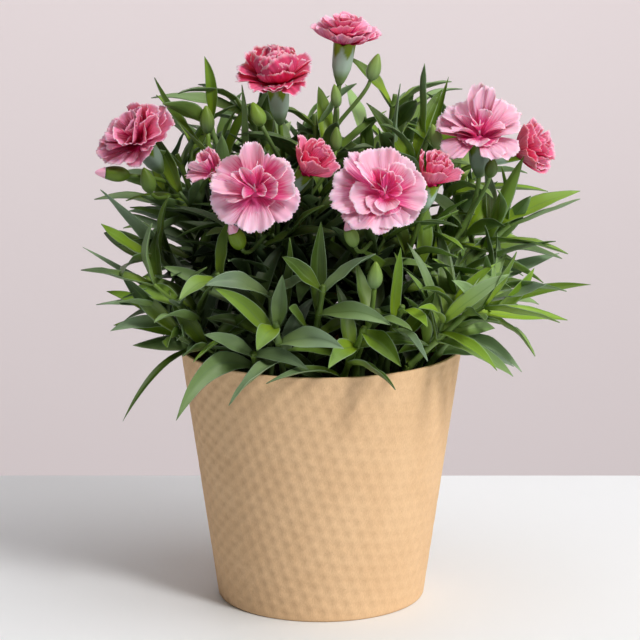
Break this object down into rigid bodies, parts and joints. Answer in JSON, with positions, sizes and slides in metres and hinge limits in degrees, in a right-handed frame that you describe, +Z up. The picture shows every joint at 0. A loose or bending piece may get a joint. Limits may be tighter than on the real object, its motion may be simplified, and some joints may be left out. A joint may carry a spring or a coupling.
{
  "type": "dianthus plant",
  "caption": "Pot carnation with double fringed blooms and narrow grey-green leaves, rooted in a nursery pot inside an embossed paper cover pot.",
  "frame": {"origin": "middle of the cover pot's underside", "axes": "+Z up out of the pot, -Y the front of the plant, where the two large low blooms face"},
  "size_m": [0.232, 0.2081, 0.2749],
  "materials": {
    "kraft_paper": "matte kraft paper, embossed with soft dimples",
    "nursery_plastic": "dark thin plastic",
    "peat_mix": "moist crumbly peat",
    "foliage": "waxy, slightly bluish green",
    "petals": "soft matte petals"
  },
  "bodies": {
    "root": {"bloom_crimson": "petals", "bloom_far_right": "petals", "bloom_front_left": "petals", "bloom_front_right": "petals", "bloom_half_left": "petals", "bloom_half_right": "petals", "bloom_left": "petals", "bloom_middle": "petals", "bloom_right": "petals", "bloom_top": "petals", "bud_tip_front_left_1": "petals", "bud_tip_front_right_1": "petals", "bud_tip_left_1": "petals", "cover_pot": "kraft_paper", "flower_stem_bud_front": "foliage", "flower_stem_bud_left": "foliage", "flower_stem_crimson": "foliage", "flower_stem_far_right": "foliage", "flower_stem_front_left": "foliage", "flower_stem_front_right": "foliage", "flower_stem_half_left": "foliage", "flower_stem_half_right": "foliage", "flower_stem_left": "foliage", "flower_stem_middle": "foliage", "flower_stem_right": "foliage", "flower_stem_top": "foliage", "nursery_pot": "nursery_plastic", "shoot_back_far_left": "foliage", "shoot_back_far_right": "foliage", "shoot_back_left": "foliage", "shoot_back_middle": "foliage", "shoot_back_right": "foliage", "shoot_crown_far_left": "foliage", "shoot_crown_far_right": "foliage", "shoot_crown_left": "foliage", "shoot_crown_middle": "foliage", "shoot_crown_right": "foliage", "shoot_front_far_left": "foliage", "shoot_front_far_right": "foliage", "shoot_front_inner": "foliage", "shoot_front_left": "foliage", "shoot_front_middle": "foliage", "shoot_front_right": "foliage", "shoot_heart_front": "foliage", "shoot_heart_left": "foliage", "shoot_heart_right": "foliage", "shoot_left_high": "foliage", "shoot_left_low": "foliage", "shoot_left_mid": "foliage", "shoot_right_high": "foliage", "shoot_right_low": "foliage", "shoot_right_mid": "foliage", "shoot_rim_front": "foliage", "shoot_rim_left": "foliage", "shoot_rim_middle": "foliage", "shoot_rim_right": "foliage", "shoot_skirt_back": "foliage", "shoot_skirt_back_left": "foliage", "shoot_skirt_back_right": "foliage", "soil": "peat_mix"}
  },
  "joints": []
}
